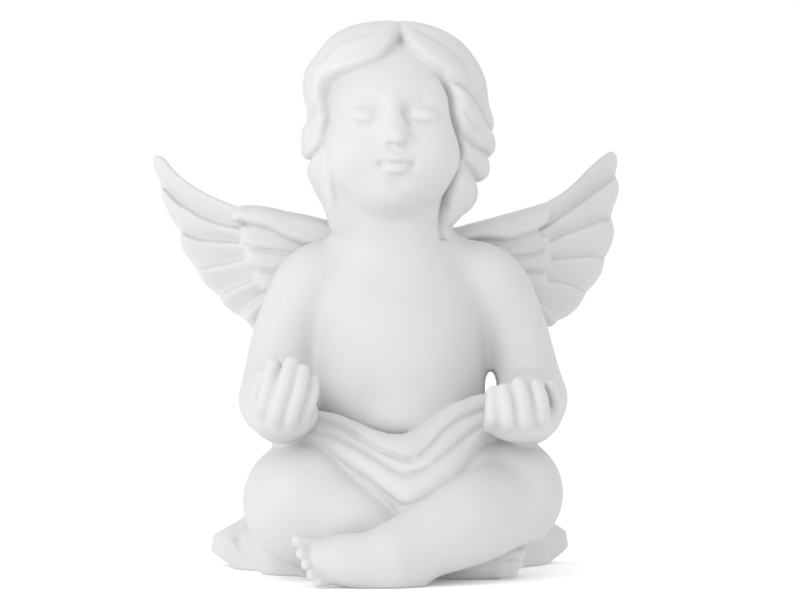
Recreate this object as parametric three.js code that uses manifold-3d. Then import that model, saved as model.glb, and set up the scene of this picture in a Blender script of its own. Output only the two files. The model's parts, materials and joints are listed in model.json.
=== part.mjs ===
// Seated cherub with open wings and crossed legs, slip-cast in one piece of unglazed white porcelain.
// Millimetres. +Z is up, the face looks to -Y, and the origin is in the middle of the flat underside.
// The figure is one piece: body, head, hair, wings, hands, feet and cloth are all cast together.

import * as THREE from "three";
import { mergeVertices } from "three/addons/utils/BufferGeometryUtils.js";
import Module from "manifold-3d";

// The height of the figure, floor to crown, is its one driving size. Pose, proportions and carving are
// given below as shares of it, in hundredths.
const height = 140;
const share = height / 100;

const wasm = await Module();
wasm.setup();

const front = new THREE.Vector3(0, -1, 0);
const up = new THREE.Vector3(0, 0, 1);
const turn = 2 * Math.PI;

// Solids

// A closed three.js geometry as a solid that can be joined and cut.
function solidOf(geometry) {
  const bare = geometry.clone();
  bare.deleteAttribute("normal");
  bare.deleteAttribute("uv");
  const merged = mergeVertices(bare, 1e-5);
  const vertProperties = merged.attributes.position.array;
  const triVerts = new Uint32Array(merged.index.array);
  return new wasm.Manifold(new wasm.Mesh({ numProp: 3, vertProperties, triVerts }));
}

// Rings of points, each as long as the next, stitched into a skin and closed by a point at either end.
function stitched(first, rings, last) {
  const sides = rings[0].length;
  const points = [first, ...rings.flat(), last];
  const end = points.length - 1;
  const at = (ring, k) => 1 + ring * sides + (k % sides);
  const faces = [];
  for (let k = 0; k < sides; k++) {
    faces.push(0, at(0, k + 1), at(0, k));
    faces.push(end, at(rings.length - 1, k), at(rings.length - 1, k + 1));
    for (let ring = 0; ring < rings.length - 1; ring++) {
      faces.push(at(ring, k), at(ring, k + 1), at(ring + 1, k + 1));
      faces.push(at(ring, k), at(ring + 1, k + 1), at(ring + 1, k));
    }
  }
  const geometry = new THREE.BufferGeometry().setFromPoints(points);
  geometry.setIndex(faces);
  return solidOf(geometry);
}

// A round-ended form drawn out along a smooth spine. A station is [x, y, z, half width, half depth], and
// the half depth, where it is left out, equals the half width. The depth lies along `facing`, which is a
// direction or a function of the point, and the width lies across it. `tip` is the length of the rounded
// ends as a share of the half width, and an end that lies inside another form takes no rings.
function drawn(stations, facing, { sides = 10, steps = 1, rootRings = 1, tipRings = 1, tip = 1 } = {}) {
  const spine = new THREE.CatmullRomCurve3(stations.map(([x, y, z]) => new THREE.Vector3(x, y, z)));
  const girths = stations.map(([, , , wide, deep = wide]) => new THREE.Vector3(wide, deep, 0));
  const girth = new THREE.CatmullRomCurve3(girths, false, "catmullrom");
  const outward = typeof facing === "function" ? facing : () => facing;
  const count = steps * (stations.length - 1);

  const section = (t, shift, shrink) => {
    const along = spine.getTangent(t);
    const centre = spine.getPoint(t);
    const deepWay = outward(centre).clone().projectOnPlane(along).normalize();
    const wideWay = deepWay.clone().cross(along);
    const { x: wide, y: deep } = girth.getPoint(t);
    centre.addScaledVector(along, shift * wide * tip);
    return Array.from({ length: sides }, (_, k) => {
      const angle = (turn * k) / sides;
      return centre
        .clone()
        .addScaledVector(wideWay, shrink * wide * Math.cos(angle))
        .addScaledVector(deepWay, shrink * deep * Math.sin(angle));
    });
  };

  const rings = [];
  for (let i = 1; i <= rootRings; i++) {
    const angle = ((Math.PI / 2) * i) / (rootRings + 1);
    rings.push(section(0, -Math.cos(angle), Math.sin(angle)));
  }
  for (let i = 0; i <= count; i++) rings.push(section(i / count, 0, 1));
  for (let i = tipRings; i >= 1; i--) {
    const angle = ((Math.PI / 2) * i) / (tipRings + 1);
    rings.push(section(1, Math.cos(angle), Math.sin(angle)));
  }
  return stitched(section(0, -1, 0)[0], rings, section(1, 1, 0)[0]);
}

// An egg of three half sizes, tipped back about X and turned about Z, in degrees.
function egg([x, y, z], [rx, ry, rz], { tipped = 0, turned = 0, sides = 16 } = {}) {
  const geometry = new THREE.SphereGeometry(1, sides, Math.round(sides * 0.6));
  geometry.rotateX(Math.PI / 2);
  geometry.scale(rx, ry, rz);
  geometry.rotateX(THREE.MathUtils.degToRad(-tipped));
  geometry.rotateZ(THREE.MathUtils.degToRad(turned));
  geometry.translate(x, y, z);
  return solidOf(geometry);
}

const mirrored = (stations, side) => stations.map(([x, ...rest]) => [side * x, ...rest]);

// Trunk: plump hips and belly under a narrow chest, and a short thick neck.
function trunk() {
  const body = [
    [0, 6, 8, 17, 12],
    [0, 5, 18, 18, 14],
    [0, 3.2, 29, 16.4, 14],
    [0, 3, 40, 15.6, 12.8],
    [0, 4, 49, 15.6, 11],
    [0, 5, 56, 12.5, 8.8],
    [0, 5, 61, 8.5, 7],
  ];
  const neck = [
    [0, 5.5, 56, 9, 7],
    [-0.2, 3, 63, 8.7, 7.8],
    [-0.4, 1.5, 69, 9, 8.4],
  ];
  return [drawn(body, front, { sides: 16, tip: 0.5 }), drawn(neck, front, { sides: 14, tip: 0.5 })];
}

// Head, chin lifted a little. The face is turned towards -X by `gaze` degrees.
const gaze = -9;
const skull = { centre: [-0.5, 1, 81.8], half: [14, 13.5, 15.2] };
function head() {
  const cheeks = egg([-1.5, -3, 75.4], [12.5, 10.4, 9.6], { sides: 14, turned: gaze });
  const chin = egg([-1.9, -6.4, 70.9], [6.6, 5.6, 4.9], { sides: 12, turned: gaze });
  return [egg(skull.centre, skull.half, { sides: 16, turned: gaze }), cheeks, chin];
}

// Features of the closed-eyed face: lids, nose and lips, in the head's own turned frame.
function face() {
  const about = ([across, ahead, z]) => {
    const a = THREE.MathUtils.degToRad(gaze);
    const x = skull.centre[0] + across * Math.cos(a) + ahead * Math.sin(a);
    const y = skull.centre[1] + across * Math.sin(a) - ahead * Math.cos(a);
    return [x, y, z];
  };
  const lid = (side) => egg(about([side * 5.3, 11.5, 81.4]), [2.9, 1.5, 1.4], { sides: 8, turned: gaze });
  const bridge = [
    [...about([0, 12.4, 83.4]), 1.1],
    [...about([0, 13.5, 80.6]), 1.4],
    [...about([0, 14.5, 78.5]), 1.9],
  ];
  const nose = drawn(bridge, front, { sides: 8 });
  const nostril = (side) => egg(about([side * 1.6, 13.6, 78]), [1.4, 1.5, 1.1], { sides: 6 });
  const lip = (z, wide, full) => {
    const line = [
      [...about([-wide, 11.9, z + 0.2]), 0.6],
      [...about([0, 13.2, z]), full],
      [...about([wide, 11.9, z + 0.2]), 0.6],
    ];
    return drawn(line, up, { sides: 6 });
  };
  return [lid(-1), lid(1), nose, nostril(-1), nostril(1), lip(74.5, 2.7, 0.9), lip(73, 2.1, 1.1)];
}

// Hair: a thick cap with wavy locks laid over it. A lock's stations are
// [azimuth, elevation, half width, lift]: degrees round the head from the front towards +X and up from
// its middle, a share of the height, and the distance from the middle as a share of the cap's own.
const cap = { centre: [-0.5, 2.2, 82.4], half: [15.4, 14.4, 17.6] };
function onCap([azimuth, elevation, wide, lift = 1]) {
  const a = THREE.MathUtils.degToRad(azimuth);
  const e = THREE.MathUtils.degToRad(elevation);
  const way = [Math.cos(e) * Math.sin(a), -Math.cos(e) * Math.cos(a), Math.sin(e)];
  const [x, y, z] = way.map((c, i) => cap.centre[i] + c * cap.half[i] * lift);
  return [x, y, z, wide, Math.max(0.6, wide * 0.8)];
}
const offCap = (point) => point.clone().sub(new THREE.Vector3(...cap.centre));
const lock = (stations) => drawn(stations.map(onCap), offCap, { sides: 4 });

const frontLocks = [
  [
    [-2, 66, 1.8],
    [-19, 55, 2.8],
    [-41, 49, 3.4],
    [-62, 41, 3.7],
    [-77, 28, 3.2],
    [-73, 15, 2],
    [-62, 8, 0.7],
  ],
  [[12, 66, 1.8], [22, 56, 2.6], [39, 43, 3.2], [55, 30, 3], [68, 19, 2], [83, 10, 0.8]],
  [[29, 22, 0.8], [39, 13, 1.6], [51, 3, 2.3], [67, -7, 2.5], [80, -14, 1.8, 1.04], [86, -20, 0.7, 1.1]],
  [[45, -13, 0.8], [58, -20, 1.8], [74, -26, 2.2], [84, -32, 1.8, 1.06], [88, -38, 0.7, 1.1]],
  [[74, -34, 0.9], [79, -41, 1.8, 1.06], [80, -46, 2.2, 1.12], [80, -53, 2, 1.17], [80, -60, 1.3, 1.22]],
  [[-61, 4, 0.8], [-67, -4, 1.7], [-80, -11, 2.2], [-92, -18, 1.8, 1.03], [-95, -25, 0.7, 1.06]],
  [
    [-70, -14, 0.8],
    [-78, -25, 1.6, 1.02],
    [-80, -32, 2, 1.07],
    [-80, -41, 2.1, 1.12],
    [-79, -50, 1.8, 1.18],
    [-78, -57, 1.2, 1.25],
  ],
];

// The cap itself falls from the crown in three tiers of locks, each tier's between those of the one
// above. A row of the cap is its elevation and its lift, and a tier's last row runs down to the locks'
// points. The front view shows little of it.
const capTiers = [
  [[80, 1], [62, 1.04], [44, 1.06], [26, 1.07]],
  [[20, 0.99], [6, 1.04], [-9, 1.07]],
  [[-15, 0.99], [-28, 1.06], [-40, 1.1]],
];
const capColumns = 20;
const groove = { depth: 0.07, rise: 5 };
const sway = 9;
function hairCap() {
  const place = (azimuth, elevation, lift) => {
    const [x, y, z] = onCap([azimuth, elevation, 0, lift]);
    return new THREE.Vector3(x, y, z);
  };
  const rings = capTiers.flatMap((tier, i) =>
    tier.map(([elevation, lift], row) =>
      Array.from({ length: capColumns }, (_, k) => {
        const low = (k + i) % 2;
        const azimuth = (-360 * k) / capColumns + sway * Math.sin(THREE.MathUtils.degToRad(4 * elevation));
        const rise = row === tier.length - 1 ? groove.rise * (2 * low - 1) : 0;
        return place(azimuth, elevation + rise, lift - groove.depth * low);
      }),
    ),
  );
  return stitched(place(0, 90, 1), rings, place(0, -90, 0.6));
}

function hair() {
  const nape = [
    [-0.5, 9, 74, 11, 6],
    [-0.3, 9, 68, 9.4, 5.4],
    [-0.2, 8.5, 63.5, 6.5, 3.5],
  ];
  return [
    hairCap(),
    drawn(nape, front, { sides: 8, tip: 0.5 }),
    ...frontLocks.map(lock),
  ];
}

// The hair's edge is cut back so that the brow and cheeks stand clear of it.
function faceOpening() {
  return egg([-2.6, -10.8, 79.2], [12.2, 8.8, 16.4], { sides: 18, turned: gaze, tipped: -8 });
}

// Arms: elbows held in, forearms reaching forward, palms up.
function arm(side, { elbow, wrist }) {
  const upper = [
    [11, 5.2, 54.6, 6.2],
    [elbow - 6.8, 5, 52, 6.9],
    [elbow - 3, 4.5, 44.5, 6.5],
    [elbow - 0.9, 3, 37, 6.4],
    [elbow, 0.5, 31.5, 6.8],
  ];
  const fore = [
    [elbow - 0.3, -1, 31.2, 6.2],
    [(elbow + wrist[0]) / 2, -7, 30.2, 6.2],
    [...wrist, 5.2],
  ];
  return [
    drawn(mirrored(upper, side), front, { sides: 12, tipRings: 2 }),
    drawn(mirrored(fore, side), up, { sides: 12, rootRings: 0 }),
  ];
}

// Hands: a cupped palm and four curled fingers seen from their backs, with the thumb outermost. A
// finger is its line [x, y, z] at root, knuckle, middle and tip, and its half thickness.
const leftHand = {
  elbow: 22.3,
  wrist: [22, -14, 29.6],
  palm: [22.2, -18.6, 29.6],
  palmHalf: [5.9, 5.4, 4.4],
  fingers: [
    { line: [[25.8, -20, 29], [26, -22.8, 31.2], [25.2, -23.2, 34.8], [24.4, -22, 38]], thick: 1.35 },
    { line: [[23.6, -20.5, 27.8], [23.9, -24, 30], [22.6, -24.8, 34.6], [21.4, -23.2, 38.2]], thick: 1.45 },
    { line: [[21.2, -20.5, 27.4], [21.3, -24, 29.4], [20.1, -24.8, 33.8], [19.4, -23.6, 37]], thick: 1.3 },
    { line: [[19, -20, 28], [18.8, -22.8, 29.8], [17.8, -23.4, 33], [17.5, -22.4, 35.4]], thick: 1.15 },
  ],
  thumb: { line: [[27, -15.5, 31.2], [28, -18, 34], [27.4, -18.6, 37]], thick: 1.35 },
};
const rightHand = {
  elbow: 23.7,
  wrist: [21.8, -14, 29],
  palm: [18.8, -18.8, 28.4],
  palmHalf: [5.9, 5.2, 4.1],
  fingers: [
    { line: [[22.4, -20, 27.6], [22.3, -23.6, 29], [22, -24.3, 32], [21.4, -23, 34.3]], thick: 1.25 },
    { line: [[19.4, -20.5, 26.8], [19.4, -24.2, 28.4], [19, -24.9, 31.8], [18.4, -23.4, 34.6]], thick: 1.4 },
    { line: [[16.4, -20.5, 26.8], [16.3, -24, 28.4], [16, -24.6, 31.3], [15.8, -23.2, 33.6]], thick: 1.25 },
    { line: [[13.9, -20, 27.4], [13.7, -23, 28.8], [13.7, -23.6, 31.2], [14, -22.6, 33.2]], thick: 1.1 },
  ],
  thumb: { line: [[25, -17, 29.4], [24.6, -20, 31.6], [23.4, -21.4, 34]], thick: 1.2 },
};
function hand(side, { palm, palmHalf, fingers, thumb }) {
  const digit = ({ line, thick }) => {
    const taper = (i) => 1 - (0.2 * i) / line.length;
    const stations = line.map(([x, y, z], i) => [side * x, y, z, thick * taper(i)]);
    return drawn(stations, front, { sides: 5, rootRings: 0 });
  };
  const [x, y, z] = palm;
  return [egg([side * x, y, z], palmHalf, { sides: 8 }), ...fingers.map(digit), digit(thumb)];
}

// Legs: the leg at +X crosses in front with its foot on its outer edge, the other is tucked behind it.
function legs() {
  const backThigh = [[-9, 5, 15, 10], [-14.5, -4, 14.6, 11], [-17.8, -9.5, 13.6, 11.2]];
  const backShin = [[-16, -10.5, 11.6, 9.2], [-8, -16, 9, 8], [2, -15, 6.4, 5.6], [10, -11, 4, 3.6]];
  const frontThigh = [[9, 5, 15, 10], [14.5, -3, 15, 10.4], [18, -8.5, 14.8, 10.4]];
  const frontShin = [[17, -10.5, 13.4, 9.4], [10, -19, 10.5, 8.6], [2, -25, 7.6, 6.6], [-4, -28, 6, 5.2]];
  const thigh = (line) => drawn(line, up, { sides: 12, tipRings: 2, rootRings: 0 });
  const shin = (line) => drawn(line, up, { sides: 12, rootRings: 0 });
  return [thigh(backThigh), shin(backShin), thigh(frontThigh), shin(frontShin)];
}

// Feet: soles down or outward, toes in a stack that shrinks towards the floor.
function feet() {
  const frontFoot = [
    [-0.2, -27.8, 3.8, 3.2, 4.4],
    [-5, -29.2, 4.2, 4, 5.2],
    [-12, -29, 4.7, 4.2, 4.6],
    [-15.5, -28.2, 5, 4, 3.6],
  ];
  const backFoot = [[6, -11.5, 2.6, 3.4, 2.8], [12, -12, 2.6, 3, 3.2], [15.5, -11.6, 2.6, 2.6, 2.8]];
  const toe = ([x, y, z], [dx, dy, dz], thick) => {
    const line = [[x, y, z, thick], [x + dx, y + dy, z + dz, thick * 0.92]];
    return drawn(line, front, { sides: 5, rootRings: 0 });
  };
  const frontToes = [
    [[-18, -28.6, 7.6], [-2.2, 0, 1], 1.25],
    [[-17.4, -29.6, 5.9], [-1.4, -0.9, 0.3], 1.05],
    [[-16.9, -30, 4.4], [-1.2, -1, 0.1], 0.95],
    [[-16.3, -30.2, 3.1], [-1, -1, 0], 0.9],
    [[-15.5, -30.3, 1.9], [-0.8, -0.9, -0.1], 0.85],
  ];
  const backToes = [
    [[17, -11.6, 3.9], [3, 0, 0], 1.15],
    [[17, -12, 2.2], [2.5, 0, 0], 0.85],
    [[16.6, -12.2, 0.9], [2.1, 0, 0], 0.75],
  ];
  return [
    ...[frontFoot, backFoot].map((line) => drawn(line, up, { sides: 8, rootRings: 2 })),
    ...[...frontToes, ...backToes].map((line) => toe(...line)),
  ];
}

// Wings: a rolled leading edge over two fans of feathers, six long ones behind and three short coverts
// in front. A fan is one plate. Each of its feathers lies between two grooves, and a groove runs from a
// root to a notch between two tips. Points are [x, y, z], topmost first, for the wing at +X.
const longRoots = [
  [25, 16.8, 65],
  [25, 16.8, 62.8],
  [25, 16.8, 60],
  [25, 16.8, 57],
  [24.6, 16.8, 53.6],
  [24, 16.6, 50],
  [23, 16.4, 47],
];
const longBulge = [1.3, 1.1, 1.2, 1.4, 1.4, 1];
const covertRoots = [[5, 10, 61], [5, 10, 57], [5, 10, 53], [5, 10, 49]];
const covertNotches = [[27.6, 17.2, 62.8], [28, 17, 59], [27.6, 16.8, 55.2], [24.6, 16.4, 50.4]];
const covertBulge = [1.6, 1.9, 2.2];
const wings = {
  right: {
    edge: [[8, 11.5, 59.3], [15, 13.8, 61.1], [22, 16.2, 62.8], [28, 17.8, 65]],
    notches: [
      [42.5, 24.4, 77],
      [43.7, 24.3, 72.7],
      [42.8, 23.8, 64.7],
      [41.1, 22.8, 57.5],
      [37.4, 21.4, 50.5],
      [31.6, 19.6, 45.4],
      [28, 18.4, 45.4],
    ],
    bow: 0.8,
  },
  left: {
    edge: [[8, 11.5, 60], [15, 13.8, 62.2], [22, 16.2, 63.7], [27, 17.6, 64.2]],
    notches: [
      [42.1, 24.4, 75.8],
      [42.2, 24.3, 70.9],
      [38.8, 23.8, 62.2],
      [35.6, 22.8, 55.2],
      [31.2, 21.4, 49.5],
      [27.3, 19.6, 46.2],
      [24.8, 18.6, 46],
    ],
    bow: 2.2,
  },
};
const edgeHalf = [[2.2, 2.4], [2.4, 2.3], [2.4, 2.1], [1.8, 1.5]];

// Two grids of points, the front and the back of a plate, each made a skin and joined round their rims.
function plate(frontRows, backRows) {
  const rows = frontRows.length;
  const columns = frontRows[0].length;
  const at = (face, row, column) => (face * rows + row) * columns + column;
  const faces = [];
  const quad = (a, b, c, d) => faces.push(a, b, c, a, c, d);
  const last = columns - 1;
  for (let r = 0; r < rows - 1; r++) {
    for (let c = 0; c < last; c++) {
      quad(at(0, r, c), at(0, r, c + 1), at(0, r + 1, c + 1), at(0, r + 1, c));
      quad(at(1, r, c), at(1, r + 1, c), at(1, r + 1, c + 1), at(1, r, c + 1));
    }
    quad(at(0, r, 0), at(0, r + 1, 0), at(1, r + 1, 0), at(1, r, 0));
    quad(at(0, r, last), at(1, r, last), at(1, r + 1, last), at(0, r + 1, last));
  }
  for (let c = 0; c < last; c++) {
    quad(at(0, 0, c), at(1, 0, c), at(1, 0, c + 1), at(0, 0, c + 1));
    quad(at(0, rows - 1, c), at(0, rows - 1, c + 1), at(1, rows - 1, c + 1), at(1, rows - 1, c));
  }
  const geometry = new THREE.BufferGeometry().setFromPoints([...frontRows.flat(), ...backRows.flat()]);
  geometry.setIndex(faces);
  return solidOf(geometry);
}

// A feather is full thickness but for the grooves at its sides, and thins towards its tip.
const fanRows = [0, 0.4, 0.8, 1];
const acrossFeather = [0, 0.25, 0.75];
const grooveShare = 0.4;
const tipThinning = 0.45;
function fan(side, { roots, notches, bulge, bow, thick }) {
  const point = (feather, across, t, face) => {
    const next = Math.min(feather + 1, roots.length - 1);
    const between = (ends) =>
      new THREE.Vector3(...ends[feather]).lerp(new THREE.Vector3(...ends[next]), across);
    const root = between(roots);
    const notch = between(notches);
    const inGroove = across === 0;
    const beyond = inGroove ? 0 : bulge[feather] * t;
    const { x, y, z } = root.clone().lerp(notch, t * (1 + beyond / root.distanceTo(notch)));
    const sag = bow * Math.sin(Math.PI * t) * (1 - feather / roots.length);
    const deep = thick * (inGroove ? grooveShare : 1) * (1 - tipThinning * t);
    return new THREE.Vector3(side * x, y - face * deep, z - sag);
  };
  const grid = (face) =>
    fanRows.map((t) =>
      roots.flatMap((_, feather) => {
        const within = feather < roots.length - 1 ? acrossFeather : [0];
        return within.map((across) => point(feather, across, t, face));
      }),
    );
  return side > 0 ? plate(grid(1), grid(-1)) : plate(grid(-1), grid(1));
}

function wing(side, { edge, notches, bow }) {
  const wingFace = new THREE.Vector3(side * 0.28, -1, 0);
  const roll = edge.map((point, i) => [...point, ...edgeHalf[i]]);
  return [
    drawn(mirrored(roll, side), wingFace, { sides: 8, rootRings: 0 }),
    fan(side, { roots: longRoots, notches, bulge: longBulge, bow, thick: 1.4 }),
    fan(side, { roots: covertRoots, notches: covertNotches, bulge: covertBulge, bow: 0, thick: 2.4 }),
  ];
}

// Cloth over the lap: long folds that hang from hip to hip and end in a point where the legs cross.
const lapFolds = [
  [
    [-18.5, -8, 28.4, 1.4],
    [-12.5, -11.8, 28, 1.6],
    [-8.8, -13.8, 26.4, 1.9],
    [-5, -15.3, 24.8, 2.2],
    [-0.9, -16, 24, 2.3],
    [3, -15.4, 24.8, 2.2],
    [6.5, -13.4, 28, 2.1],
    [10.6, -11.4, 30.2, 1.7],
    [15, -8.6, 31, 1.4],
  ],
  [
    [-19, -10, 25.6, 1.6],
    [-13.2, -13.6, 26.2, 1.5],
    [-7.2, -17.4, 22.9, 1.4],
    [-1.2, -19.6, 20.6, 1.4],
    [4.9, -18.4, 23.2, 1.6],
    [9.4, -14.4, 26.8, 2.1],
    [15, -10, 27.6, 2],
  ],
  [
    [-19, -10.6, 23.6, 1.6],
    [-13.9, -14, 24.4, 1.6],
    [-9.4, -18, 21.6, 1.6],
    [-5.4, -21, 19, 1.8],
    [-1.2, -22.6, 17.6, 2.1],
    [3.4, -20.8, 19.2, 2.2],
    [8, -17, 22.4, 2.3],
    [13, -12.6, 24.4, 2.2],
  ],
  [
    [-4.2, -23, 17.4, 1.3],
    [-1.2, -24.6, 15.6, 1.6],
    [3, -22.6, 17, 1.5],
    [7.6, -19.4, 19.2, 1.3],
    [13, -15, 21.2, 1.3],
    [17, -12, 22.6, 1],
  ],
];
function lapCloth() {
  const ahead = new THREE.Vector3(0, -0.75, 0.66);
  const bed = [
    [-17, -5, 21, 7, 5],
    [-8, -12, 18, 7, 5],
    [0, -15.5, 15.5, 7, 6],
    [8, -12, 18.5, 7, 5],
    [16, -5, 22, 7, 5],
  ];
  const fold = (line) => {
    const stations = line.map(([x, y, z, half]) => [x, y, z, half * 1.15, half]);
    return drawn(stations, ahead, { sides: 4 });
  };
  return [drawn(bed, ahead, { sides: 8 }), ...lapFolds.map(fold)];
}

// Cloth on the floor: it falls from the hips at the sides and back and spreads in a wavy hem with two
// drawn-out corners. The hem's reach is given by its angle from +X, every 30 degrees, towards +Y first.
// A level is its height and how far it has spread from the hips to the hem.
const hemCentre = [0, 4];
const hemReach = [26, 34.5, 29, 24.5, 29, 34.6, 29, 24, 14, 8, 14, 20];
const onFloor = (x, y, z) => new THREE.Vector3(hemCentre[0] + x, hemCentre[1] + y, z);
const hips = { half: [17, 14.6] };
const skirtLevels = [[-1, 0.93], [1.8, 1], [4.6, 0.96], [7.5, 0.76], [12, 0.5], [17.5, 0.26], [23.7, 0]];
const foldCount = 11;

// Two rolls of cloth go round the waist behind, from hip to hip: how far below the rim, how thick and how
// far each sags in the middle of the back.
const rimHeight = 27.4;
const waistTop = 25;
const waistRolls = [[0, 1.8, 2], [3.4, 1.9, 4]];
function floorCloth() {
  const sides = 29;
  const reach = (angle) => {
    const place = (angle / turn) * hemReach.length;
    const i = Math.floor(place);
    const next = hemReach[(i + 1) % hemReach.length];
    return THREE.MathUtils.lerp(hemReach[i], next, THREE.MathUtils.smoothstep(place - i, 0, 1));
  };
  const waist = (angle) => 1 / Math.hypot(Math.cos(angle) / hips.half[0], Math.sin(angle) / hips.half[1]);
  const rings = skirtLevels.map(([z, spread]) =>
    Array.from({ length: sides }, (_, k) => {
      const angle = (turn * k) / sides;
      const ripple = (0.4 + 0.9 * spread) * Math.sin(foldCount * angle + 2 * spread);
      const r = waist(angle) + (reach(angle) - waist(angle)) * spread + ripple;
      return onFloor(r * Math.cos(angle), r * Math.sin(angle), z);
    }),
  );
  const skirt = stitched(onFloor(0, 0, skirtLevels[0][0]), rings, onFloor(0, 0, waistTop));
  const rim = ([drop, half, sag]) => {
    const quarter = Math.PI / 2;
    const line = [-1.25, -0.9, -0.45, 0, 0.45, 0.9, 1.25].map((t) => [
      hips.half[0] * Math.sin(quarter * t),
      hemCentre[1] + hips.half[1] * Math.cos(quarter * t),
      rimHeight - drop - sag * Math.max(0, Math.cos(quarter * t)),
      half,
    ]);
    return drawn(line, up, { sides: 4 });
  };
  return [skirt, ...waistRolls.map(rim)];
}

// All forms are joined to one solid, and the underside is cut flat at the floor.
const joined = (forms) => forms.reduce((whole, form) => whole.add(form));

function figurine() {
  const headOfHair = joined(hair()).subtract(faceOpening());
  const whole = joined([
    headOfHair,
    ...trunk(),
    ...head(),
    ...face(),
    ...arm(-1, leftHand),
    ...arm(1, rightHand),
    ...hand(-1, leftHand),
    ...hand(1, rightHand),
    ...legs(),
    ...feet(),
    ...wing(-1, wings.left),
    ...wing(1, wings.right),
    ...lapCloth(),
    ...floorCloth(),
  ]);
  const below = new THREE.BoxGeometry(200, 200, 40).translate(0, 0, -20);
  const mesh = whole.subtract(solidOf(below)).getMesh();
  const geometry = new THREE.BufferGeometry();
  geometry.setAttribute("position", new THREE.BufferAttribute(mesh.vertProperties, 3));
  geometry.setIndex(new THREE.BufferAttribute(mesh.triVerts, 1));
  geometry.scale(share, share, share);
  return geometry;
}

const porcelain = new THREE.MeshStandardMaterial({ color: 0xe9e8e6, roughness: 0.6, metalness: 0 });
const cherub = new THREE.Mesh(figurine(), porcelain);
cherub.name = "figurine";

const part = new THREE.Group();
part.add(cherub);

export default part;
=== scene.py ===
import json
import math

import bpy
import numpy as np
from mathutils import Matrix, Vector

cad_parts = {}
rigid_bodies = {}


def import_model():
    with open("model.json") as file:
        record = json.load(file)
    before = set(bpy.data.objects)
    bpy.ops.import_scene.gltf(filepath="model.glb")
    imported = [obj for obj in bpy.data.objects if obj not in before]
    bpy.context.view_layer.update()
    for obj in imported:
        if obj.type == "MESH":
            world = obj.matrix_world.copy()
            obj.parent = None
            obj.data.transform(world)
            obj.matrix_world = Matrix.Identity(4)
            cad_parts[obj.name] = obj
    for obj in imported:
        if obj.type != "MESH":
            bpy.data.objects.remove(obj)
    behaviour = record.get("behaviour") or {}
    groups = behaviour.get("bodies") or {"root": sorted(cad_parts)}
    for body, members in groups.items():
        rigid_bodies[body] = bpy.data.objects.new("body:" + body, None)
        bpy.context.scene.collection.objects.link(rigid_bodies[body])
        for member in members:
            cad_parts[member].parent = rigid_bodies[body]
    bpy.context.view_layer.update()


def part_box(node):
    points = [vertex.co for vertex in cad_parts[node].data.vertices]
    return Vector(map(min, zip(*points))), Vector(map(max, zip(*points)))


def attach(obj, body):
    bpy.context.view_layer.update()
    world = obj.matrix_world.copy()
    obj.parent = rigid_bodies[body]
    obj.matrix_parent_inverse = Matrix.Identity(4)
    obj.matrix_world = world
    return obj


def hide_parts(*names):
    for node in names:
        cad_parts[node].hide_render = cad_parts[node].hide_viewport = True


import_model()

import openvdb

bpy.ops.object.select_all(action="DESELECT")

# The figurine is a seated cherub, slip-cast in one hollow piece of unglazed white porcelain. The carver's
# model for it is built up here in clay: soft forms are laid on and smoothed together, then hair, feathers,
# cloth and features are cut in. Points and sizes are in hundredths of its height, and it faces -Y.

lowest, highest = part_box("figurine")
share = (highest[2] - lowest[2]) / 100
grain = 0.3
bench_low = (-45.8, -35.6, -1.5)
bench_high = (47, 33.4, 102.2)
air = 4
axes = [np.arange(low, high, grain, dtype=np.float32) for low, high in zip(bench_low, bench_high)]
clay = np.full([axis.size for axis in axes], air, np.float32)
front = (0, -1, 0)
upward = (0, 0, 1)


def stretch(low, high):
    """The part of the lattice between two corners, and its coordinates."""
    part = tuple(slice(*np.searchsorted(axis, ends).tolist()) for axis, *ends in zip(axes, low, high))
    return part, np.ix_(*[axis[cut] for axis, cut in zip(axes, part)])


def smoothed(stations, steps):
    """Points and sizes along a smooth line through the stations."""
    knots = np.array(stations, float)
    knots = np.vstack([2 * knots[0] - knots[1], knots, 2 * knots[-1] - knots[-2]])
    t = np.linspace(0, 1, steps, endpoint=False)[:, None]
    pieces = []
    for before, start, end, after in zip(knots, knots[1:], knots[2:], knots[3:]):
        curl = 2 * before - 5 * start + 4 * end - after
        twist = 3 * start - before - 3 * end + after
        pieces.append(start + 0.5 * ((end - before) * t + curl * t**2 + twist * t**3))
    return np.vstack([*pieces, knots[-2:-1]])


def rounded(across, out, along, wide, deep, end):
    """Distance to an ellipsoid, from places in its own axes."""
    inside = np.sqrt((across / wide) ** 2 + (out / deep) ** 2 + (along / end) ** 2)
    slope = np.sqrt((across / wide**2) ** 2 + (out / deep**2) ** 2 + (along / end**2) ** 2)
    return inside * (inside - 1) / np.maximum(slope, 1e-4)


def egg(centre, half, turned=0, tipped=0):
    """An egg of three half sizes, tipped back about X and turned about Z, in degrees."""
    a, b = math.radians(turned), math.radians(tipped)

    def distance(x, y, z):
        px, py, pz = x - centre[0], y - centre[1], z - centre[2]
        side = px * math.cos(a) + py * math.sin(a)
        back = py * math.cos(a) - px * math.sin(a)
        deep = back * math.cos(b) - pz * math.sin(b)
        tall = pz * math.cos(b) + back * math.sin(b)
        return rounded(side, deep, tall, *half)

    reach = max(half)
    return [c - reach for c in centre], [c + reach for c in centre], distance


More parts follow.
